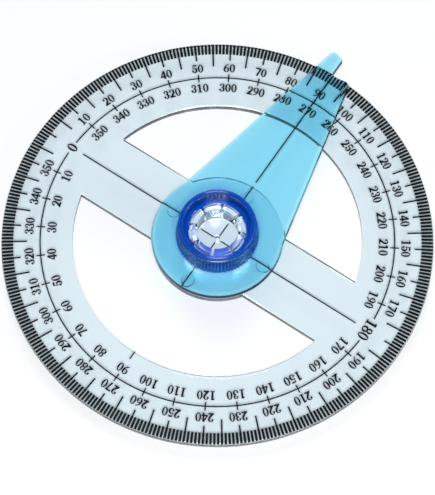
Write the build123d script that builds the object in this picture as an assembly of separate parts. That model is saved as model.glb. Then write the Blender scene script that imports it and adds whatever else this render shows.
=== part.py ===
"""Swing-arm protractor: a clear full-circle scale disc with two windows, and a tinted pointer arm
with a ribbed finger ring, which turn together on a snap hub moulded in one with the disc.

Millimetres. The origin is on the pivot axis at the disc's underside, and +Z is up through the ring.
The 0 mark is on -X, 90 on +Y and 180 on +X. At rest the arm points along +Y, at 90.
"""

from math import asin, atan2, cos, hypot, radians, sin, tan
import os

from build123d import *

# ---- Scale disc ----
DISC_R = 50.0
DISC_T = 2.0
WINDOW_R = 33.5  # arc of the two D-shaped windows
CROSSBAR_W = 17.2  # bar between the windows, along X
PAD_R = 15.2  # round hub pad that bulges into both windows
EDGE_BREAK = 0.12  # moulded softening of the disc's rim and window edges
PIN_HOLE_R = 0.625
WELL_R = 4.75  # shallow recess in the underside that keeps the cross lines off the paper
WELL_DEPTH = 0.15

# ---- Snap hub, one piece with the disc ----
HUB_BORE_R = 4.85
HUB_WALL = 1.25
HUB_FINGERS = 8
FINGER_GAP = 0.7  # slot between neighbouring fingers
FINGER_ROOT = 0.5  # unslotted height above the disc
BARB_OUT = 0.8  # how far a finger's barb stands out
BARB_H = 1.1
SEAT_W = 1.3  # low seat round the fingers, under the arm

# ---- Pointer arm ----
ARM_GAP = 0.3  # air between the print and the arm
ARM_T = 1.4
ARM_HUB_R = 15.3
EDGE_INSET = 0.4  # the blade's edges pass this much inside the hub's edge
ARM_TIP_W = 4.6  # the blade's half width where it crosses the disc's rim
ARM_BEVEL = 0.6
TAB_REACH = 5.4  # how far the grip tab goes beyond the rim
TAB_SLOPE = 1.2  # how much lower the tab's end is on its marking-edge side
TAB_ROUND = 1.3
SHOULDER_RISE = 0.7  # from the marking edge out to the rim
SHOULDER_ROUND = 1.3
INNER_ROUND = 0.3
SPIGOT_WALL = 1.25
SPIGOT_H = 1.2
KEY_W = 1.6  # the two keys that make ring and arm turn together
KEY_OUT = 0.7
FOOT_R = 1.5  # round glide bumps under the arm's hub
FOOT_H = 0.2
FOOT_SHIFT = 0.45  # the bumps' pattern sits this far off the pivot in +X and -Y

# ---- Finger ring ----
RING_H = 6.5
RING_WALL = 1.35
RING_DRAFT = 0.6  # how much wider the ring is at its foot
BARB_ROOM = 0.85  # radial, ring's bore round the barbs
RING_CROWN = 0.45  # rounding of the rim
LEDGE_T = 1.0
RIBS = 72
RIB_DEPTH = 0.34
RIB_H = 5.4

# ---- Clearances ----
RUNNING = 0.05  # radial, arm on the hub fingers
LEDGE_CLEAR = 0.2  # radial, ring's ledge round the fingers
SEAT_CLEAR = 0.05
BARB_CLEAR = 0.1

# ---- Printed scale: hot-stamped foil, pressed slightly into the plastic ----
INK_T = 0.05
INK_BITE = 0.02
TICK_W = 0.43
LINE_W = 0.3
TICK_L = 2.8  # one-degree tick, from the rim
TEN_TICK_L = 4.4
FIVE_TICK_L = 6.0
CIRCLE_INSET = 9.0  # the circle's distance from the rim
CROSS_TICK = 1.0  # half length
ZERO_GAP = 2.1  # degrees left open each side of the 0
STRAIGHT_GAP = 4.3  # degrees left open each side of the 180
TEXT_OFFSET = 2.6  # centre of each row of numbers from the circle
TEXT_H = 2.15
AXIS_TEXT_H = 2.65
DIGIT_ADVANCE = 0.66  # of the digit height
BASE_LINE_GAP = 3.1  # left open between the base line and the circle
QUADRANT_TICK_L = 2.2
CROSS_LINE_GAP = 0.33  # left open round the pin hole
CROSS_LINE_INSET = 0.2  # left open inside the recess's wall
HAIRLINE_GAP = 1.0  # left open outside the hub pad

# ---- Heights that follow from the sizes above ----
HUB_R = HUB_BORE_R + HUB_WALL
SEAT_R = HUB_R + SEAT_W
RIM = DISC_R - EDGE_BREAK
ARM_Z = DISC_T + ARM_GAP
ARM_TOP = ARM_Z + ARM_T
SPIGOT_TOP = ARM_TOP + SPIGOT_H
LEDGE_TOP = SPIGOT_TOP + LEDGE_T
BARB_Z = LEDGE_TOP + BARB_CLEAR
HUB_TOP = BARB_Z + BARB_H
ARM_BORE_R = HUB_R + RUNNING
SPIGOT_R = ARM_BORE_R + SPIGOT_WALL
ARM_EDGE_R = ARM_HUB_R - EDGE_INSET
ARM_TAPER = asin(ARM_EDGE_R / hypot(ARM_TIP_W, DISC_R)) - atan2(ARM_TIP_W, DISC_R)
RING_BORE_R = HUB_R + BARB_OUT + BARB_ROOM
RING_TOP_R = RING_BORE_R + RING_WALL
RING_BASE_R = RING_TOP_R + RING_DRAFT
FOOT_PITCH_R = (RING_BASE_R + ARM_EDGE_R) / 2
TAB_END = DISC_R + TAB_REACH
SHOULDER_Y = DISC_R - SHOULDER_RISE
CIRCLE_R = DISC_R - CIRCLE_INSET
TICK_IN = DISC_R - TICK_L
LEDGE_R = HUB_R + LEDGE_CLEAR


def ring_of(count, make):
    """The solids make(angle) gives at equal steps round the pivot, angle in degrees from +X."""
    return [make(step * 360 / count) for step in range(count)]


def turned(shape, angle):
    """A shape turned about the pivot axis."""
    return Rot(0, 0, angle) * shape


def bar(start, end, width, low, height):
    """A radial bar of rectangular section along +X, from one radius to another."""
    return Pos((start + end) / 2, 0, low + height / 2) * Box(end - start, width, height)


def tube(outer, inner, low, high):
    """A plain ring about the pivot axis."""
    section = Circle(outer) - Circle(inner)
    return Pos(0, 0, low) * extrude(section, high - low)


def rod(radius, low, high):
    """A plain cylinder about the pivot axis."""
    return Pos(0, 0, low) * extrude(Circle(radius), high - low)


# ---- Scale disc ----


def window():
    """One D-shaped window, on the +Y side, cut back round the hub pad."""
    half = Circle(WINDOW_R) - Pos(0, CROSSBAR_W / 2 - WINDOW_R) * Rectangle(2 * WINDOW_R, 2 * WINDOW_R)
    return half - Circle(PAD_R)


def snap_finger_ring():
    """The slotted hub: barbed spring fingers that hold the finger ring down."""
    profile = Polyline(
        (HUB_BORE_R, DISC_T),
        (HUB_R, DISC_T),
        (HUB_R, BARB_Z),
        (HUB_R + BARB_OUT, BARB_Z),
        (HUB_R + BARB_OUT, BARB_Z + BARB_H / 3),
        (HUB_R, HUB_TOP),
        (HUB_BORE_R, HUB_TOP),
        close=True,
    )
    hub = revolve(Plane.XZ * make_face(profile), Axis.Z)
    reach = HUB_R + 2 * BARB_OUT
    slot_low = DISC_T + FINGER_ROOT
    step = 360 / HUB_FINGERS
    slot = bar(0, reach, FINGER_GAP, slot_low, HUB_TOP)
    return hub - ring_of(HUB_FINGERS, lambda a: turned(slot, a + step / 2))


def make_scale_disc():
    plate = extrude(Circle(DISC_R) - window() - turned(window(), 180), DISC_T)
    flat_edges = [edge for edge in plate.edges() if abs(edge.tangent_at(0.5).Z) < 0.5]
    plate = chamfer(flat_edges, EDGE_BREAK)
    plate -= rod(WELL_R, 0, WELL_DEPTH)
    plate -= rod(PIN_HOLE_R, 0, DISC_T)
    seat = tube(SEAT_R, HUB_BORE_R, DISC_T, ARM_Z - SEAT_CLEAR)
    return plate + seat + snap_finger_ring()


# ---- Pointer arm ----


def edge_x(y):
    """Half width of the tapered arm at a distance y from the pivot."""
    return ARM_EDGE_R / cos(ARM_TAPER) - y * tan(ARM_TAPER)


def arm_outline():
    """Round hub, tapered blade with a shoulder at the rim, and the tab left of the marking edge."""
    touch = (ARM_EDGE_R * cos(ARM_TAPER), ARM_EDGE_R * sin(ARM_TAPER))
    edge = FilletPolyline(
        touch,
        (ARM_TIP_W, DISC_R),
        (0, SHOULDER_Y),
        (0, TAB_END - TAB_SLOPE),
        (-edge_x(TAB_END), TAB_END),
        (-touch[0], touch[1]),
        radius=[SHOULDER_ROUND, INNER_ROUND, TAB_ROUND, TAB_ROUND],
    )
    blade = make_face(edge + Line(edge @ 1, edge @ 0))
    return blade + Circle(ARM_HUB_R)


def glide_bumps():
    """Four low domes under the arm's hub."""
    dome_r = (FOOT_R**2 + FOOT_H**2) / (2 * FOOT_H)
    centre = Pos(FOOT_SHIFT, -FOOT_SHIFT, ARM_Z - FOOT_H + dome_r)
    below = Pos(0, 0, ARM_Z - FOOT_H) * extrude(Rectangle(4 * ARM_HUB_R, 4 * ARM_HUB_R), FOOT_H)
    domes = ring_of(4, lambda a: (centre * turned(Pos(FOOT_PITCH_R, 0) * Sphere(dome_r), a)) & below)
    return domes


def keys():
    """Two lugs on the spigot's side."""
    root = ARM_BORE_R + SPIGOT_WALL / 2
    return ring_of(2, lambda a: turned(bar(root, SPIGOT_R + KEY_OUT, KEY_W, ARM_TOP, SPIGOT_H), a))


def make_pointer_arm():
    arm = extrude(arm_outline(), ARM_T)
    top_edges = arm.faces().sort_by(Axis.Z)[-1].edges()
    arm = Pos(0, 0, ARM_Z) * chamfer(top_edges, ARM_BEVEL)
    arm += rod(SPIGOT_R, ARM_TOP, SPIGOT_TOP)
    arm += keys()
    arm += glide_bumps()
    return arm - rod(ARM_BORE_R, 0, 2 * SPIGOT_TOP)


# ---- Finger ring ----


def ribbed_wall():
    """Tapered outer wall with V-shaped ribs, as one ruled loft."""
    sections = []
    for low, radius in ((0, RING_BASE_R), (RIB_H, RING_TOP_R)):
        points = []
        for step in range(2 * RIBS):
            reach = radius - RIB_DEPTH * (step % 2)
            angle = radians(step * 180 / RIBS)
            points.append((reach * cos(angle), reach * sin(angle)))
        sections.append(Pos(0, 0, low) * make_face(Polyline(*points, close=True)))
    return loft(sections, ruled=True)


def make_finger_ring():
    crown_r = RING_TOP_R - RIB_DEPTH
    crown = extrude(Circle(crown_r), RING_H)
    ring = crown + ribbed_wall()
    ring -= rod(RING_BORE_R, LEDGE_TOP - ARM_TOP, RING_H)
    rim = ring.edges().filter_by(GeomType.CIRCLE).group_by(Axis.Z)[-1]
    rounding = min(RING_CROWN, 0.45 * (crown_r - RING_BORE_R))
    ring = Pos(0, 0, ARM_TOP) * fillet(rim, rounding)
    ring -= rod(LEDGE_R, ARM_TOP, LEDGE_TOP)
    ring -= rod(SPIGOT_R, ARM_TOP, SPIGOT_TOP)
    return ring - keys()


# ---- Digits, each one unit high about its own centre ----


def oval(x, y, half_width, half_height):
    return Pos(x, y) * Ellipse(half_width, half_height)


def block(left, low, right, high):
    return Pos((left + right) / 2, (low + high) / 2) * Rectangle(right - left, high - low)


def shape(*points):
    """A straight-sided face, its corners given anticlockwise."""
    return Polygon(*points, align=None)


def zero():
    return oval(0, 0, 0.3, 0.5) - oval(0, 0, 0.12, 0.42)


def one():
    stem = block(-0.1, -0.5, 0.1, 0.5) + block(-0.23, -0.5, 0.23, -0.41)
    return stem + shape((-0.1, 0.5), (-0.26, 0.37), (-0.26, 0.3), (-0.1, 0.33))


def two():
    bowl = oval(0, 0.22, 0.29, 0.28) - oval(-0.03, 0.22, 0.13, 0.2) - block(-0.4, -0.2, 0.02, 0.22)
    slope = shape((0.29, 0.22), (0.1, 0.1), (-0.3, -0.4), (-0.3, -0.5), (0, -0.4), (0.25, 0))
    return bowl + slope + block(-0.3, -0.5, 0.3, -0.34) + oval(-0.18, 0.25, 0.1, 0.1)


def three():
    top = oval(0, 0.24, 0.26, 0.26) - oval(-0.03, 0.25, 0.12, 0.18) - block(-0.4, -0.1, -0.04, 0.24)
    foot = oval(0, -0.21, 0.3, 0.29) - oval(-0.03, -0.22, 0.14, 0.2) - block(-0.4, -0.21, -0.04, 0.15)
    return top + foot + oval(-0.16, 0.27, 0.1, 0.09) + oval(-0.19, -0.25, 0.11, 0.1)


def four():
    slope = shape((-0.33, -0.15), (-0.19, -0.15), (0.15, 0.5), (0.02, 0.5))
    return slope + block(0.02, -0.5, 0.21, 0.5) + block(-0.33, -0.28, 0.33, -0.13)


def five():
    flag = shape((-0.24, 0), (-0.16, 0), (-0.14, 0.33), (0.22, 0.33), (0.27, 0.5), (-0.18, 0.5))
    bowl = oval(0, -0.18, 0.3, 0.32) - oval(-0.05, -0.18, 0.15, 0.22) - block(-0.4, -0.18, -0.2, 0.2)
    return flag + bowl + oval(-0.19, -0.25, 0.11, 0.1)


def six():
    bowl = oval(0, -0.19, 0.3, 0.31) - oval(0.01, -0.19, 0.12, 0.23)
    stem = oval(0.28, -0.19, 0.58, 0.69) - oval(0.28, -0.19, 0.42, 0.6)
    return bowl + (stem & block(-0.3, -0.19, 0.24, 0.5))


def seven():
    return block(-0.29, 0.32, 0.3, 0.5) + shape((0.3, 0.4), (0.12, 0.34), (-0.14, -0.5), (0.07, -0.5))


def eight():
    rings = oval(0, 0.24, 0.26, 0.26) + oval(0, -0.22, 0.3, 0.28)
    return rings - oval(0, 0.25, 0.11, 0.17) - oval(0, -0.23, 0.13, 0.18)


def nine():
    return Rot(0, 0, 180) * six()


DIGITS = [make() for make in (zero, one, two, three, four, five, six, seven, eight, nine)]


# ---- Print ----

TENS = [angle for angle in range(10, 360, 10) if angle != 180]  # the numbered readings


def printed(face):
    """Ink on the disc's top face."""
    return Pos(0, 0, DISC_T - INK_BITE) * extrude(face, INK_T, dir=(0, 0, 1))


def numeral(number, scale_angle, radius, height):
    """The number's digits as solids, tops outward, at a reading of the clockwise scale."""
    around = 180 - scale_angle
    text = str(number)
    solids = []
    for place, digit in enumerate(text):
        offset = (place - (len(text) - 1) / 2) * DIGIT_ADVANCE * height
        spot = turned(Pos(offset, radius), around - 90)
        solids.append(printed(spot * scale(DIGITS[int(digit)], by=height)))
    return solids


def tick(scale_angle, start, end, width):
    """A radial mark on the disc's top face."""
    return turned(bar(start, end, width, DISC_T - INK_BITE, INK_T), 180 - scale_angle)


def make_degree_ticks():
    return [tick(angle, TICK_IN, RIM, TICK_W) for angle in range(360)]


def make_five_degree_ticks():
    return [tick(angle, DISC_R - FIVE_TICK_L, TICK_IN, LINE_W) for angle in range(5, 360, 10)]


def make_ten_degree_ticks():
    return [tick(angle, DISC_R - TEN_TICK_L, TICK_IN, LINE_W) for angle in range(0, 360, 10)]


def make_scale_circle():
    """The circle between the two rows of numbers, open where 0 and 180 stand."""
    band = Circle(CIRCLE_R + LINE_W / 2) - Circle(CIRCLE_R - LINE_W / 2)
    for side, gap in ((-1, ZERO_GAP), (1, STRAIGHT_GAP)):
        opening = 2 * CIRCLE_R * sin(radians(gap))
        band -= Pos(side * CIRCLE_R, 0) * Rectangle(CIRCLE_R, opening)
    return [printed(face) for face in band.faces()]


def make_cross_ticks():
    """A short mark each side of the circle at every number."""
    marks = []
    for angle in TENS:
        marks.append(tick(angle, CIRCLE_R + LINE_W / 2, CIRCLE_R + CROSS_TICK, LINE_W))
        marks.append(tick(angle, CIRCLE_R - CROSS_TICK, CIRCLE_R - LINE_W / 2, LINE_W))
    return marks


def make_outer_numerals():
    row_r = CIRCLE_R + TEXT_OFFSET
    return [digit for angle in TENS for digit in numeral(angle, angle, row_r, TEXT_H)]


def make_inner_numerals():
    row_r = CIRCLE_R - TEXT_OFFSET
    return [digit for angle in TENS for digit in numeral(360 - angle, angle, row_r, TEXT_H)]


def make_axis_numerals():
    return numeral(0, 0, CIRCLE_R, AXIS_TEXT_H) + numeral(180, 180, CIRCLE_R, AXIS_TEXT_H)


def make_base_line():
    return [tick(angle, SEAT_R, CIRCLE_R - BASE_LINE_GAP, LINE_W) for angle in (0, 180)]


def make_quadrant_marks():
    """The 90 and 270 lines: one piece on the hub pad and one at the windows' outer edge."""
    marks = []
    for angle in (90, 270):
        marks.append(tick(angle, SEAT_R, PAD_R - EDGE_BREAK, LINE_W))
        marks.append(tick(angle, WINDOW_R + EDGE_BREAK, WINDOW_R + QUADRANT_TICK_L, LINE_W))
    return marks


def make_cross_lines():
    """The centring cross in the underside recess, open round the pin hole."""
    low = WELL_DEPTH + INK_BITE - INK_T
    start = PIN_HOLE_R + CROSS_LINE_GAP
    end = WELL_R - CROSS_LINE_INSET
    return ring_of(4, lambda a: turned(bar(start, end, LINE_W, low, INK_T), a))


def make_hairline():
    """The reading line on the arm's underside, from outside the hub pad to the marking edge."""
    low = ARM_Z + INK_BITE - INK_T
    return turned(bar(PAD_R + HAIRLINE_GAP, SHOULDER_Y, LINE_W, low, INK_T), 90)


PARTS = {
    "scale_disc": make_scale_disc,
    "pointer_arm": make_pointer_arm,
    "finger_ring": make_finger_ring,
    "degree_ticks": make_degree_ticks,
    "five_degree_ticks": make_five_degree_ticks,
    "ten_degree_ticks": make_ten_degree_ticks,
    "scale_circle": make_scale_circle,
    "cross_ticks": make_cross_ticks,
    "outer_numerals": make_outer_numerals,
    "inner_numerals": make_inner_numerals,
    "axis_numerals": make_axis_numerals,
    "base_line": make_base_line,
    "quadrant_marks": make_quadrant_marks,
    "centre_cross": make_cross_lines,
    "pointer_hairline": make_hairline,
}

os.makedirs("parts", exist_ok=True)
for name, make in PARTS.items():
    made = make()
    pieces = made if isinstance(made, list) else [made]
    solids = [solid for piece in pieces for solid in piece.solids()]
    export_step(Compound(children=solids) if len(solids) > 1 else solids[0], f"parts/{name}.step")
    print(name, len(solids))
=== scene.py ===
# %% [markdown]
# # A swing-arm protractor in clear and tinted plastic
# The real thing is a drawing instrument moulded from polystyrene: a clear disc stamped with a black
# degree scale, a sky-blue pointer arm, and a royal-blue finger ring that turns the arm about the hub.
# Three see-through plastics lie on each other, so this lesson is mostly about clean closed shapes,
# because light shows every fault inside clear plastic, and about tinting glass-like shaders.
# We begin by loading the engineering model, which fixes every size and place.

# %% Load the frame
from math import acos, asin, atan2, cos, hypot, pi, radians, sin, sqrt, tan

import bmesh
import bpy
from mathutils import Matrix, Vector


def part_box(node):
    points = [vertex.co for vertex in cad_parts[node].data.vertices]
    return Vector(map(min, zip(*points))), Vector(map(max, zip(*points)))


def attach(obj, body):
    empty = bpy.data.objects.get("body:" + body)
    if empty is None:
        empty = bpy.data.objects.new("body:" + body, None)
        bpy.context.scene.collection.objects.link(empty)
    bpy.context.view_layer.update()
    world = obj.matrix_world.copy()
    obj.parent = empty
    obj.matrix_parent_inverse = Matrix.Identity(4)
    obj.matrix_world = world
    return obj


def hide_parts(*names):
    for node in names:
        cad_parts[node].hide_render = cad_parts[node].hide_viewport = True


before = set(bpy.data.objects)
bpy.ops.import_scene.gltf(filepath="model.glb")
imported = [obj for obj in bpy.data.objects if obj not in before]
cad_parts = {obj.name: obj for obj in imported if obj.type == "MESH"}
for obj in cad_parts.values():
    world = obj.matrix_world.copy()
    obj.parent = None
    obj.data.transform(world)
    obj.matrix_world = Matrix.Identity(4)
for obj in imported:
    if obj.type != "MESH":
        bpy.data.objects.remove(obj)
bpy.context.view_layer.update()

MM = 0.001

# %% [markdown]
# ## Sizes
# The rest are the moulder's own: small roundings that the engineering model leaves sharp or
# plain. All are in millimetres.

# %% Sizes shared by several pieces
def reach(node, axis, side=1):
    """How far a node of the model extends along one axis, in millimetres."""
    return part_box(node)[side][axis] / MM


DISC_R = reach("scale_disc", 0)
DISC_T = 2.0
EDGE = 0.34
WINDOW_R = 33.5
BAR_HALF = 8.6
PAD_R = 15.2
WELL_R = 4.75
WELL_DEPTH = 0.15
PIN_R = 0.625
HUB_BORE = 4.85
HUB_R = 6.1
HUB_TOP = reach("scale_disc", 2)
SEAT_R = 7.4
ARM_Z = 2.3
ARM_TOP = 3.7
ARM_HUB_R = reach("pointer_arm", 0)
ARM_END = reach("pointer_arm", 1)
RING_TOP = reach("finger_ring", 2)
RING_FOOT_R = reach("finger_ring", 0)
print("disc", DISC_R, "arm end", round(ARM_END, 2), "hub top", round(HUB_TOP, 2), "ring top", round(RING_TOP, 2))

# %% [markdown]
# ## Helpers for shapes
# A moulded part is an outline with a thickness, or a profile turned about an axis. Blender's own
# curves fill an outline and round its edges in one go, and a lathed mesh is only rings of points.
# Boolean modifiers then weld such bodies into one skin. One skin matters here: if two clear bodies
# overlap, light bends at a wall that the real moulding doesn't have.

# %% Outlines, lathed bodies and welding
def arc(radius, start, end, steps, centre=(0, 0)):
    """Points on an arc, angles in degrees."""
    angles = [radians(start + (end - start) * i / steps) for i in range(steps + 1)]
    return [(centre[0] + radius * cos(a), centre[1] + radius * sin(a)) for a in angles]


def mesh_of(source):
    """A plain mesh of what an object looks like with its modifiers."""
    return bpy.data.meshes.new_from_object(source.evaluated_get(bpy.context.evaluated_depsgraph_get()))


def new_object(name, mesh):
    made = bpy.data.objects.new(name, mesh)
    bpy.context.scene.collection.objects.link(made)
    return made


def plate(name, outlines, low, high, edge=0.0, steps=2):
    """A flat plate from closed outlines (the first outside, the rest holes), edges rounded in steps."""
    curve = bpy.data.curves.new(name, "CURVE")
    curve.dimensions = "2D"
    curve.fill_mode = "BOTH"
    curve.extrude = ((high - low) / 2 - edge) * MM
    curve.bevel_depth = edge * MM
    curve.bevel_resolution = steps
    curve.offset = -edge * MM
    for points in outlines:
        spline = curve.splines.new("POLY")
        spline.points.add(len(points) - 1)
        for point, (x, y) in zip(spline.points, points):
            point.co = (x * MM, y * MM, 0, 1)
        spline.use_cyclic_u = True
    holder = new_object(name, curve)
    mesh = mesh_of(holder)
    bpy.data.objects.remove(holder)
    mesh.transform(Matrix.Translation((0, 0, (low + high) / 2 * MM)))
    return tidy(new_object(name, mesh))


def tidy(piece):
    """Merges doubled points and turns every face outwards."""
    work = bmesh.new()
    work.from_mesh(piece.data)
    bmesh.ops.remove_doubles(work, verts=work.verts, dist=0.002 * MM)
    bmesh.ops.recalc_face_normals(work, faces=work.faces)
    work.to_mesh(piece.data)
    work.free()
    return piece


def lathe(name, profile, steps, closed=True):
    """A profile of (radius, height) points turned about Z. A closed one is a ring, an open one a plug."""
    work = bmesh.new()
    rows = []
    for i in range(steps):
        a = 2 * pi * i / steps
        rows.append([work.verts.new((r * cos(a) * MM, r * sin(a) * MM, z * MM)) for r, z in profile])
    count = len(profile) if closed else len(profile) - 1
    for row, following in zip(rows, rows[1:] + rows[:1]):
        for j in range(count):
            k = (j + 1) % len(profile)
            work.faces.new((row[j], following[j], following[k], row[k]))
    if not closed:
        work.faces.new([row[0] for row in rows])
        work.faces.new([row[-1] for row in rows])
    mesh = bpy.data.meshes.new(name)
    work.to_mesh(mesh)
    work.free()
    return tidy(new_object(name, mesh))


def weld(piece, tool, operation="UNION"):
    """Joins tool to piece, or cuts it out, and removes the tool."""
    boolean = piece.modifiers.new("weld", "BOOLEAN")
    boolean.operation = operation
    boolean.solver = "EXACT"
    boolean.object = tool
    mesh = mesh_of(piece)
    piece.modifiers.remove(boolean)
    piece.data = mesh
    bpy.data.objects.remove(tool)
    return piece


def plug(radius, low, high, steps=96):
    return lathe("plug", [(radius, low), (radius, high)], steps, closed=False)


def smooth(piece, degrees=35):
    """Shades gentle bends as curves, and keeps real corners sharp and level faces level."""
    piece.data.shade_smooth()
    piece.data.set_sharp_from_angle(angle=radians(degrees))
    for face in piece.data.polygons:
        face.use_smooth = abs(face.normal.z) < 0.9999


def report(piece):
    low = [round(min(v.co[i] for v in piece.data.vertices) / MM, 2) for i in range(3)]
    high = [round(max(v.co[i] for v in piece.data.vertices) / MM, 2) for i in range(3)]
    triangles = sum(len(f.vertices) - 2 for f in piece.data.polygons)
    print(piece.name, "from", low, "to", high, "mm,", triangles, "triangles")


# %% [markdown]
# ## Helpers for materials and node trees
# Colours are written as the sRGB hex values a painter would pick, and one function turns them into
# the linear light that shaders work in. One more function adds any node with its settings and links,
# for shader trees and Geometry Nodes alike.

# %% Colour and node helpers
def linear(hex_code, alpha=1.0):
    channels = [int(hex_code[i : i + 2], 16) / 255 for i in (1, 3, 5)]
    return (*[c / 12.92 if c <= 0.04045 else ((c + 0.055) / 1.055) ** 2.4 for c in channels], alpha)


def node(tree, kind, settings=None, **inputs):
    """Adds a node. An input is a value, or an output socket to link. Names use _ for a space."""
    made = tree.nodes.new(kind)
    for key, value in (settings or {}).items():
        setattr(made, key, value)
    for key, value in inputs.items():
        socket = made.inputs[int(key[1:])] if key[1:].isdigit() else made.inputs[key.replace("_", " ")]
        if isinstance(value, bpy.types.NodeSocket):
            tree.links.new(value, socket)
        else:
            socket.default_value = value
    return made


# %% [markdown]
# ## Polystyrene, clear and tinted
# General-purpose polystyrene is glass-clear, bends light strongly (an index of 1.59), and comes out
# of a polished mould with a hard gloss. A window of glass would need caustics to let lamps through
# to the paper below it, and those are slow and noisy. So rays on their way from the paper to a lamp
# meet a simple tinted filter instead of the bending surface. The table's own bounced rays meet the
# filter too, or the same lamp would light the paper twice. A weak, very broad noise stands for the slow ripple
# that plastic freezes into as it fills the mould, and a fine one for rubbing marks in the gloss.

# %% Transparent plastics
IOR_POLYSTYRENE = 1.59
FLOW_MM = 9.0
RUB_MM = 0.6


def polystyrene(name, body_hex, filter_hex, ripple, clarity=1.0, mirror=0.5, gloss=0.03, groove_shade_hex=None):
    material = bpy.data.materials.new(name)
    material.use_nodes = True
    tree = material.node_tree
    tree.nodes.clear()
    place = node(tree, "ShaderNodeTexCoord").outputs["Object"]
    flow = node(tree, "ShaderNodeTexNoise", Vector=place, Scale=1 / (FLOW_MM * MM), Detail=1.0)
    bump = node(tree, "ShaderNodeBump", Height=flow.outputs["Fac"], Strength=ripple, Distance=0.2 * MM)
    marks = node(tree, "ShaderNodeTexNoise", Vector=place, Scale=1 / (RUB_MM * MM), Detail=4.0)
    wear = node(tree, "ShaderNodeMapRange", Value=marks.outputs["Fac"], To_Min=gloss, To_Max=gloss + 0.05)
    body = node(
        tree,
        "ShaderNodeBsdfPrincipled",
        Base_Color=linear(body_hex),
        Roughness=wear.outputs["Result"],
        IOR=IOR_POLYSTYRENE,
        Transmission_Weight=clarity,
        Specular_IOR_Level=mirror,
        Normal=bump.outputs["Normal"],
    )
    if not mirror:
        bare = {"Color": linear(body_hex), "Roughness": wear.outputs["Result"], "IOR": IOR_POLYSTYRENE}
        body = node(tree, "ShaderNodeBsdfRefraction", **bare)
    # Painted shade: where the groove attribute marks a rib groove's bottom, the base colour is blended to a
    # darker blue.
    if groove_shade_hex:
        depth = node(tree, "ShaderNodeAttribute", {"attribute_name": "groove"}).outputs["Fac"]
        ends = {"_0": depth, "_6": linear(body_hex), "_7": linear(groove_shade_hex)}
        tone = node(tree, "ShaderNodeMix", {"data_type": "RGBA"}, **ends).outputs[2]
        tree.links.new(tone, body.inputs["Base Color"])
    path = node(tree, "ShaderNodeLightPath").outputs
    both = (path["Is Shadow Ray"], path["Is Diffuse Ray"])
    soft = node(tree, "ShaderNodeMath", {"operation": "MAXIMUM"}, _0=both[0], _1=both[1]).outputs[0]
    through = node(tree, "ShaderNodeBsdfTransparent", Color=linear(filter_hex))
    mixed = node(tree, "ShaderNodeMixShader", _0=soft, _1=body.outputs["BSDF"], _2=through.outputs["BSDF"])
    node(tree, "ShaderNodeOutputMaterial", Surface=mixed.outputs["Shader"])
    return material


clear_plastic = polystyrene("clear polystyrene", "#F2FAFD", "#F8FCFE", ripple=0.10)
sky_plastic = polystyrene("sky blue polystyrene", "#7EDFFC", "#C8F1FF", ripple=0.12)
sky_under = polystyrene("sky blue polystyrene, underside", "#FFFFFF", "#FFFFFF", ripple=0.0)
# The bevel's pale colour is thinner dye and also a painted highlight band. The end-on colour is deeper dye and
# also a painted shade line.
sky_bevel_dye_and_highlight = polystyrene("sky blue polystyrene, thin bevel", "#C6F6FD", "#E2F8FF", ripple=0.0, mirror=0)
sky_edge_dye_and_shade = polystyrene("sky blue polystyrene, seen end-on", "#2A7F9E", "#9CCBD6", ripple=0.0, mirror=0.2)
# The second, darker blue is painted shade in the bottoms of the ring's rib grooves.
royal_plastic = polystyrene(
    "royal blue polystyrene",
    "#0464CC",
    "#3F98EC",
    ripple=0.05,
    clarity=0.62,
    mirror=0.16,
    gloss=0.1,
    groove_shade_hex="#01256E",
)
print("plastics", [m.name for m in (clear_plastic, sky_plastic, sky_under, sky_bevel_dye_and_highlight, sky_edge_dye_and_shade, royal_plastic)])

# %% [markdown]
# ## Hot-stamped foil
# The scale is black foil pressed on with a heated die. It is opaque and slightly satin, and its
# surface is a little uneven, because it takes the die's fine grain.

# %% Black foil
GRAIN_MM = 0.12
foil = bpy.data.materials.new("hot-stamped black foil")
foil.use_nodes = True
foil_tree = foil.node_tree
foil_tree.nodes.clear()
foil_place = node(foil_tree, "ShaderNodeTexCoord").outputs["Object"]
foil_grain = node(foil_tree, "ShaderNodeTexNoise", Vector=foil_place, Scale=1 / (GRAIN_MM * MM), Detail=2.0)
foil_tone = node(
    foil_tree,
    "ShaderNodeMix",
    {"data_type": "RGBA"},
    _0=foil_grain.outputs["Fac"],
    _6=linear("#050608"),
    _7=linear("#12161C"),
)
foil_bump = node(foil_tree, "ShaderNodeBump", Height=foil_grain.outputs["Fac"], Strength=0.2, Distance=0.01 * MM)
foil_body = node(
    foil_tree,
    "ShaderNodeBsdfPrincipled",
    Base_Color=foil_tone.outputs[2],
    Roughness=0.45,
    Specular_IOR_Level=0.15,
    Normal=foil_bump.outputs["Normal"],
)
node(foil_tree, "ShaderNodeOutputMaterial", Surface=foil_body.outputs["BSDF"])
for name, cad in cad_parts.items():
    if name.endswith(("ticks", "numerals", "circle", "line", "marks", "cross", "hairline")):
        cad.data.materials.clear()
        cad.data.materials.append(foil)
print("foil on", sum(o.data.materials[0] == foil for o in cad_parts.values() if o.data.materials))

# %% [markdown]
# ## Marks that repeat round a circle, with Geometry Nodes
# The scale has hundreds of equal ticks, and the hub has equal slots. Both are one bar copied round a
# circle, which is what Geometry Nodes are best at: Points makes the count, their index gives the
# angle, and Instance on Points turns a bar to face outwards at each. One tree with named inputs
# serves every row. It ends by making the copies real and giving them their material.

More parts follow.
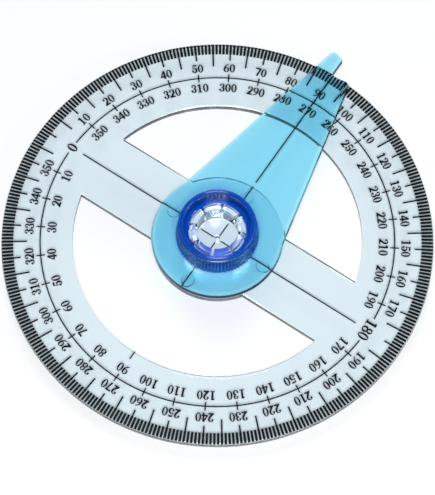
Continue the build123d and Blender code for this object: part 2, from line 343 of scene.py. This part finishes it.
# %% The tree: bars round a circle
def bars_tree():
    tree = bpy.data.node_groups.new("bars round a circle", "GeometryNodeTree")
    wanted = [
        ("Count", "NodeSocketInt"),
        ("Inner Radius", "NodeSocketFloat"),
        ("Outer Radius", "NodeSocketFloat"),
        ("Width", "NodeSocketFloat"),
        ("Height", "NodeSocketFloat"),
        ("Low", "NodeSocketFloat"),
        ("Start Angle", "NodeSocketFloat"),
        ("Material", "NodeSocketMaterial"),
    ]
    for label, kind in wanted:
        tree.interface.new_socket(label, in_out="INPUT", socket_type=kind)
    tree.interface.new_socket("Geometry", in_out="OUTPUT", socket_type="NodeSocketGeometry")
    given = node(tree, "NodeGroupInput").outputs

    def maths(operation, a, b):
        return node(tree, "ShaderNodeMath", {"operation": operation}, _0=a, _1=b).outputs[0]

    index = node(tree, "GeometryNodeInputIndex").outputs[0]
    angle = maths("ADD", maths("MULTIPLY", maths("DIVIDE", index, given["Count"]), 2 * pi), given["Start Angle"])
    middle = maths("DIVIDE", maths("ADD", given["Inner Radius"], given["Outer Radius"]), 2.0)
    x = maths("MULTIPLY", middle, maths("COSINE", angle, 0.0))
    y = maths("MULTIPLY", middle, maths("SINE", angle, 0.0))
    z = maths("ADD", given["Low"], maths("DIVIDE", given["Height"], 2.0))
    spot = node(tree, "ShaderNodeCombineXYZ", X=x, Y=y, Z=z).outputs[0]
    points = node(tree, "GeometryNodePoints", Count=given["Count"], Position=spot).outputs[0]
    length = maths("SUBTRACT", given["Outer Radius"], given["Inner Radius"])
    size = node(tree, "ShaderNodeCombineXYZ", X=length, Y=given["Width"], Z=given["Height"]).outputs[0]
    bar = node(tree, "GeometryNodeMeshCube", Size=size).outputs[0]
    turn = node(tree, "ShaderNodeCombineXYZ", Z=angle).outputs[0]
    copies = node(tree, "GeometryNodeInstanceOnPoints", Points=points, Instance=bar, Rotation=turn).outputs[0]
    real = node(tree, "GeometryNodeRealizeInstances", Geometry=copies).outputs[0]
    done = node(tree, "GeometryNodeSetMaterial", Geometry=real, Material=given["Material"]).outputs[0]
    node(tree, "NodeGroupOutput", Geometry=done)
    return tree


def run_nodes(name, tree, base=None, **values):
    """Runs a tree once on a mesh and keeps the result as a plain mesh."""
    holder = new_object(name, base or bpy.data.meshes.new(name))
    run = holder.modifiers.new("nodes", "NODES")
    run.node_group = tree
    for item in tree.interface.items_tree:
        key = item.name.replace(" ", "_")
        if item.in_out == "INPUT" and key in values:
            run[item.identifier] = values[key]
    mesh = mesh_of(holder)
    holder.modifiers.remove(run)
    holder.data = mesh
    return holder


bars = bars_tree()

# %% The degree scale
INK_LOW = DISC_T - 0.02
INK_T = 0.05
TICK_IN = DISC_R - 2.8


def ring_of_marks(name, count, inner, outer, width, start):
    return run_nodes(
        name,
        bars,
        Count=count,
        Inner_Radius=inner * MM,
        Outer_Radius=outer * MM,
        Width=width * MM,
        Height=INK_T * MM,
        Low=INK_LOW * MM,
        Start_Angle=radians(start),
        Material=foil,
    )


degree_ticks = ring_of_marks("degree_marks", 360, TICK_IN, DISC_R - EDGE / 2, 0.56, 0)
five_ticks = ring_of_marks("five_degree_marks", 36, DISC_R - 6.0, TICK_IN, 0.36, 5)
ten_ticks = ring_of_marks("ten_degree_marks", 36, DISC_R - 4.4, TICK_IN, 0.36, 0)
for piece in (degree_ticks, five_ticks, ten_ticks):
    report(piece)

# %% [markdown]
# ## The clear disc
# The plate is one outline with two windows. Each window is a wide arc, a straight side along the
# crossbar and a smaller arc round the hub pad, so its outline is three short formulas. The hub is
# lathed, its slots are cut by a ring of bars from the same Geometry Nodes tree, and both are welded
# to the plate. Then the recess under the centring cross and the pin hole are cut.

# %% Plate with two windows
def window(turn):
    side = sqrt(WINDOW_R**2 - BAR_HALF**2)
    corner = atan2(BAR_HALF, side) * 180 / pi
    pad = asin(BAR_HALF / PAD_R) * 180 / pi
    outline = arc(WINDOW_R, corner, 180 - corner, 120) + arc(PAD_R, 180 - pad, pad, 60)
    return [(x * turn, y * turn) for x, y in outline]


disc = plate("clear_disc", [arc(DISC_R, 0, 359, 359), window(1), window(-1)], 0, DISC_T, EDGE)
report(disc)

# %% Slotted hub with barbed fingers
BARB_Z = HUB_TOP - 1.1
BARB_R = HUB_R + 0.8
SOFT = 0.1
hub_profile = [
    (HUB_BORE, DISC_T / 2),
    (SEAT_R - EDGE, DISC_T / 2),
    (SEAT_R - EDGE, 2.1),
    (SEAT_R, 2.12),
    (SEAT_R - 0.05, 2.25),
    (HUB_R + SOFT, 2.25),
    (HUB_R, 2.25 + SOFT),
    (HUB_R, BARB_Z),
    (BARB_R - SOFT, BARB_Z),
    (BARB_R, BARB_Z + SOFT),
    (BARB_R, BARB_Z + 0.35),
    (HUB_R + 0.15, HUB_TOP - SOFT),
    (HUB_R, HUB_TOP),
    (HUB_BORE + SOFT, HUB_TOP),
    (HUB_BORE, HUB_TOP - SOFT),
]
hub = lathe("hub", hub_profile, 160)
slots = run_nodes(
    "slots",
    bars,
    Count=8,
    Inner_Radius=2 * MM,
    Outer_Radius=9 * MM,
    Width=0.7 * MM,
    Height=8 * MM,
    Low=2.5 * MM,
    Start_Angle=radians(22.5),
)
weld(hub, tidy(slots), "DIFFERENCE")
weld(disc, hub)
weld(disc, plug(WELL_R, -1, WELL_DEPTH), "DIFFERENCE")
weld(disc, plug(PIN_R, -1, DISC_T + 1, 48), "DIFFERENCE")
smooth(tidy(disc))
report(disc)

# %% [markdown]
# ## The pointer arm
# The outline is a round hub and two tangent edges that taper to the rim. On one side the blade ends
# at the rim in a shoulder; on the other a tab runs on past it, and its edge lies on the reading line,
# so a pencil drawn along it marks the angle. The curve's own bevel gives the broad polished chamfer.
# It works on both faces, so the plate starts too thick, and most of its lower chamfer is cut away.
# The little that is left turns the light inside the arm, and draws its edge as a thin dark line.

# %% Arm outline
TIP_HALF = 4.6
EDGE_R = ARM_HUB_R - 0.4
taper = asin(EDGE_R / hypot(TIP_HALF, DISC_R)) - atan2(TIP_HALF, DISC_R)
TAB_END = 55.4
TAB_SLOPE = 1.2
SHOULDER_DROP = 0.7
ARM_BEVEL = 1.0
UNDERCUT = 0.2


def rounded(corner, before, after, radius, steps=10):
    """Points of an arc that rounds a corner between two straight sides."""
    corner, before, after = Vector(corner), Vector(before), Vector(after)
    a, b = (before - corner).normalized(), (after - corner).normalized()
    half = acos(max(-1, min(1, a.dot(b)))) / 2
    start = corner + a * radius / tan(half)
    end = corner + b * radius / tan(half)
    centre = corner + (a + b).normalized() * radius / sin(half)
    first, last = start - centre, end - centre
    turn = first.angle_signed(last)
    points = []
    for i in range(steps + 1):
        angle = -turn * i / steps
        points.append(tuple(centre + Matrix.Rotation(angle, 2) @ first))
    return points


def arm_outline():
    touch = (EDGE_R * cos(taper), EDGE_R * sin(taper))
    left_end = (-(EDGE_R / cos(taper) - TAB_END * tan(taper)), TAB_END)
    corners = [
        (touch, 0),
        ((TIP_HALF, DISC_R), 1.3),
        ((0, DISC_R - SHOULDER_DROP), 0.3),
        ((0, TAB_END - TAB_SLOPE), 1.3),
        (left_end, 1.3),
        ((-touch[0], touch[1]), 0),
    ]
    points = []
    for i, (corner, radius) in enumerate(corners):
        if radius:
            points += rounded(corner, corners[i - 1][0], corners[i + 1][0], radius)
    turn = (taper + acos(EDGE_R / ARM_HUB_R)) * 180 / pi
    return points + arc(ARM_HUB_R, 180 - turn, 360 + turn, 150)


arm = plate("tinted_arm", [arm_outline()], ARM_Z - ARM_BEVEL + UNDERCUT, ARM_TOP, ARM_BEVEL, steps=1)
report(arm)

# %% Spigot, keys, glide bumps and bore
def box_between(low, high):
    centre = [(a + b) / 2 * MM for a, b in zip(low, high)]
    size = [(b - a) * MM for a, b in zip(low, high)]
    mesh = bpy.data.meshes.new("box")
    work = bmesh.new()
    bmesh.ops.create_cube(work, size=1.0, matrix=Matrix.Translation(centre) @ Matrix.Diagonal((*size, 1)))
    work.to_mesh(mesh)
    work.free()
    return new_object("box", mesh)


def glide_bump(x, y):
    """A low round bump with a rolled edge, which hangs under the arm's hub."""
    edge = [(1.5 - 0.2 * (1 - sin(a)), ARM_Z - 0.2 * (1 - cos(a))) for a in (pi / 2, pi / 3, pi / 6)]
    bump = lathe("bump", [(1.5, ARM_Z + 0.1), *reversed(edge), (1.2, ARM_Z - 0.2)], 40, closed=False)
    bump.data.transform(Matrix.Translation((x * MM, y * MM, 0)))
    return bump


SPIGOT_TOP = 4.9
weld(arm, box_between((-20, -20, 0), (20, 60, ARM_Z)), "DIFFERENCE")
weld(arm, plug(SEAT_R, ARM_Z + 0.5, SPIGOT_TOP, 160))
for side in (-1, 1):
    weld(arm, box_between((side * 7.6 - 0.5, -0.8, ARM_TOP - 0.5), (side * 7.6 + 0.5, 0.8, SPIGOT_TOP - 0.02)))
for x, y in ((12.3, 0), (0, 12.3), (-12.3, 0), (0, -12.3)):
    weld(arm, glide_bump(x + 0.45, y - 0.45))
weld(arm, plug(HUB_R + 0.05, 0, 9, 160), "DIFFERENCE")
smooth(tidy(arm), 11)
report(arm)

# %% [markdown]
# ## The finger ring
# A lathed ring with a rounded rim, an inner ledge that the hub's barbs hold down, and a recess that
# drops over the arm's spigot. Its grip is seventy-two fine ribs. They follow a rule, so a second small
# tree makes them: it reads each point's angle, turns it into a zigzag wave, and pulls the outer
# wall's points inwards by that much. It also keeps the wave as an attribute, which the ring's material
# uses to paint shade into the bottoms of the grooves.

# %% The tree: ribs on a wall
def ribs_tree():
    tree = bpy.data.node_groups.new("ribs on a round wall", "GeometryNodeTree")
    wanted = [
        ("Geometry", "NodeSocketGeometry"),
        ("Count", "NodeSocketInt"),
        ("Depth", "NodeSocketFloat"),
        ("Wall Radius", "NodeSocketFloat"),
        ("Wall Top", "NodeSocketFloat"),
        ("Material", "NodeSocketMaterial"),
    ]
    for label, kind in wanted:
        tree.interface.new_socket(label, in_out="INPUT", socket_type=kind)
    tree.interface.new_socket("Geometry", in_out="OUTPUT", socket_type="NodeSocketGeometry")
    given = node(tree, "NodeGroupInput").outputs

    def maths(operation, a, b=0.0, c=0.0):
        return node(tree, "ShaderNodeMath", {"operation": operation}, _0=a, _1=b, _2=c).outputs[0]

    place = node(tree, "GeometryNodeInputPosition").outputs[0]
    apart = node(tree, "ShaderNodeSeparateXYZ", Vector=place).outputs
    turns = maths("DIVIDE", maths("ARCTAN2", apart["Y"], apart["X"]), 2 * pi)
    wave = maths("PINGPONG", maths("MULTIPLY", turns, given["Count"]), 0.5)
    flat = node(tree, "ShaderNodeCombineXYZ", X=apart["X"], Y=apart["Y"]).outputs[0]
    radius = node(tree, "ShaderNodeVectorMath", {"operation": "LENGTH"}, _0=flat).outputs["Value"]
    outside = maths("GREATER_THAN", radius, given["Wall Radius"])
    below = maths("LESS_THAN", apart["Z"], given["Wall Top"])
    pull = maths("MULTIPLY", maths("MULTIPLY", wave, -2.0), given["Depth"])
    amount = maths("MULTIPLY", pull, maths("MULTIPLY", outside, below))
    outward = node(tree, "ShaderNodeVectorMath", {"operation": "NORMALIZE"}, _0=flat).outputs[0]
    shift = node(tree, "ShaderNodeVectorMath", {"operation": "SCALE"}, _0=outward, Scale=amount).outputs[0]
    # The same wave, 1 at a groove's bottom, is kept for the painted shade in the ring's material.
    groove = maths("MULTIPLY", maths("MULTIPLY", wave, 2.0), maths("MULTIPLY", outside, below))
    marked = node(
        tree,
        "GeometryNodeStoreNamedAttribute",
        {"data_type": "FLOAT", "domain": "POINT"},
        Geometry=given["Geometry"],
        Name="groove",
        Value=groove,
    ).outputs[0]
    moved = node(tree, "GeometryNodeSetPosition", Geometry=marked, Offset=shift).outputs[0]
    real = node(tree, "GeometryNodeRealizeInstances", Geometry=moved).outputs[0]
    done = node(tree, "GeometryNodeSetMaterial", Geometry=real, Material=given["Material"]).outputs[0]
    node(tree, "NodeGroupOutput", Geometry=done)
    return tree


# %% Ribbed ring
RIBS = 72
RIB_DEPTH = 0.34
RIB_TOP = ARM_TOP + 5.4
FIT = 0.03
ring_foot = ARM_TOP + FIT
crown = RING_TOP - 0.45


def wall(z):
    """Radius of the tapered outer wall at a height."""
    return RING_FOOT_R - 0.6 * (z - ARM_TOP) / (RIB_TOP - ARM_TOP)


crown_r = wall(RIB_TOP) - RIB_DEPTH
rim_out = [(crown_r - 0.45 * (1 - cos(a)), crown + 0.45 * sin(a)) for a in [radians(15 * i) for i in range(7)]]
rim_in = [(8.2 + 0.45 * cos(a), crown + 0.45 * sin(a)) for a in [radians(90 + 15 * i) for i in range(7)]]
ring_profile = [
    (SEAT_R + FIT, ring_foot),
    (wall(ring_foot) - 0.1, ring_foot),
    (wall(ring_foot + 0.1), ring_foot + 0.1),
    *[(wall(z), z) for z in (4.6, 5.5, 6.4, 7.3, 8.2, RIB_TOP - 0.15)],
    (wall(RIB_TOP) - 0.1, RIB_TOP),
    (crown_r, RIB_TOP + 0.06),
    *rim_out,
    *rim_in,
    (7.75, 8.2),
    (7.75, 5.9 + SOFT),
    (7.75 - SOFT, 5.9),
    (6.3 + SOFT, 5.9),
    (6.3, 5.9 - SOFT),
    (6.3, SPIGOT_TOP + FIT),
    (SEAT_R + FIT, SPIGOT_TOP + FIT),
]
blank = lathe("ring_blank", ring_profile, RIBS * 8)
ring = run_nodes(
    "ribbed_ring",
    ribs_tree(),
    base=blank.data,
    Count=RIBS,
    Depth=RIB_DEPTH * MM,
    Wall_Radius=(crown_r + 0.02) * MM,
    Wall_Top=(RIB_TOP - 0.05) * MM,
    Material=royal_plastic,
)
bpy.data.objects.remove(blank)
smooth(ring, 30)
report(ring)

# %% [markdown]
# ## Put the pieces on the moving frame
# The disc and its print stay put. The arm, the ring and the reading line turn together, so they ride
# on the pointer body. Each new piece hides the plain engineering part it stands for.

# %% Ride, replace, material
for piece, material, slot, body, stands_for in (
    (disc, clear_plastic, "clear_polystyrene", "dial", "scale_disc"),
    (arm, sky_plastic, "sky_blue_polystyrene", "pointer", "pointer_arm"),
    (ring, royal_plastic, "royal_blue_polystyrene", "pointer", "finger_ring"),
    (degree_ticks, foil, "black_foil", "dial", "degree_ticks"),
    (five_ticks, foil, "black_foil", "dial", "five_degree_ticks"),
    (ten_ticks, foil, "black_foil", "dial", "ten_degree_ticks"),
):
    piece.data.materials.clear()
    piece.data.materials.append(material)
    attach(piece, body)
    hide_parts(stands_for)

# %% [markdown]
# ## The arm's bevel and edge
# Dye shows by its depth. Under the bevel the plate is thin, so it is nearly clear there, and its pale colour is
# also a painted highlight:
# the bright band that lamp light focused by the bevel makes. At the edge itself the eye looks along the inside
# of the plate, through many millimetres of dye, so it is dark, and that dark colour is also painted shade: the
# dark outline that the edge's bent view of the dim room makes. So the whole depth of colour sits on the upper
# face, the underside is left clear, and two more slots are for the bevel and the edge. Each face takes its slot
# from how steep it is.

# %% Underside, bevel and edge slots
for material in (sky_under, sky_bevel_dye_and_highlight, sky_edge_dye_and_shade):
    arm.data.materials.append(material)
# Bevel faces take the pale colour, partly a painted highlight. Steep edge faces take the dark colour, partly
# painted shade.
for face in arm.data.polygons:
    steep = abs(face.normal.z) < 0.6 or face.center.z < (ARM_Z - 0.01) * MM
    if face.normal.z < -0.98:
        face.material_index = 1
    elif abs(face.normal.z) < 0.98 and face.center.xy.length > (SEAT_R + 2) * MM:
        face.material_index = 3 if steep else 2
print("faces in each slot", [sum(f.material_index == i for f in arm.data.polygons) for i in range(4)])

# %% [markdown]
# ## Table, light and camera
# Clear plastic shows its surroundings more than itself. It lies on a white table under large soft
# lamps, and the room round it is dimmer, so the walls of the windows, which bend the view
# sideways, come out dark and draw the object's edges.

# %% White table
TABLE_HALF = 0.6
table_material = bpy.data.materials.new("matt white laminate")
table_material.use_nodes = True
table_body = table_material.node_tree.nodes["Principled BSDF"]
table_body.inputs["Base Color"].default_value = linear("#FAFAFA")
table_body.inputs["Roughness"].default_value = 0.8
table_body.inputs["Specular IOR Level"].default_value = 0.2
table = box_between((-TABLE_HALF / MM, -TABLE_HALF / MM, -4), (TABLE_HALF / MM, TABLE_HALF / MM, -0.02))
table.name = "table"
table.data.materials.append(table_material)


# %% Soft lamps and a dim room
def lamp(name, place, aim, size, power):
    light = bpy.data.lights.new(name, "AREA")
    light.shape = "DISK"
    light.size = size
    light.energy = power
    made = bpy.data.objects.new(name, light)
    bpy.context.scene.collection.objects.link(made)
    made.location = place
    made.rotation_euler = (Vector(aim) - Vector(place)).to_track_quat("-Z", "Y").to_euler()
    return made


lamp("overhead", (0.18, -0.26, 0.95), (0, 0, 0), 0.45, 8.8)
lamp("window side", (-0.55, 0.75, 0.55), (0, 0, 0), 0.5, 3.3)
lamp("side strip", (0.88, 0.29, 0.24), (0, 0, 0), 0.4, 2.2)
room = bpy.data.worlds.new("room")
bpy.context.scene.world = room
room.use_nodes = True
seen_at = node(room.node_tree, "ShaderNodeLightPath").outputs["Is Camera Ray"]
glow = node(room.node_tree, "ShaderNodeMapRange", Value=seen_at, To_Min=0.35, To_Max=4.0).outputs["Result"]
backdrop = room.node_tree.nodes["Background"]
backdrop.inputs["Color"].default_value = linear("#747E86")
room.node_tree.links.new(glow, backdrop.inputs["Strength"])
bpy.context.scene.view_settings.view_transform = "Standard"

# %% Camera
VIEW_AZIMUTH = 34.04
VIEW_ELEVATION = 68.24
VIEW_ROLL = 0.29
VIEW_DISTANCE = 510.2
AIM = (1.44, -2.09, DISC_T)
LENS = 160.7
azimuth, elevation = radians(VIEW_AZIMUTH), radians(VIEW_ELEVATION)
back = Vector((sin(azimuth) * cos(elevation), -cos(azimuth) * cos(elevation), sin(elevation)))
camera = bpy.data.objects.new("camera", bpy.data.cameras.new("camera"))
bpy.context.scene.collection.objects.link(camera)
camera.data.lens = LENS
camera.data.sensor_width = 36.0
camera.data.clip_start = 0.01
camera.location = (Vector(AIM) + back * VIEW_DISTANCE) * MM
camera.rotation_mode = "QUATERNION"
roll = Matrix.Rotation(radians(-VIEW_ROLL), 4, "Z").to_quaternion()
camera.rotation_quaternion = (-back).to_track_quat("-Z", "Y") @ roll
bpy.context.scene.camera = camera
print("camera", [round(v, 3) for v in camera.location])
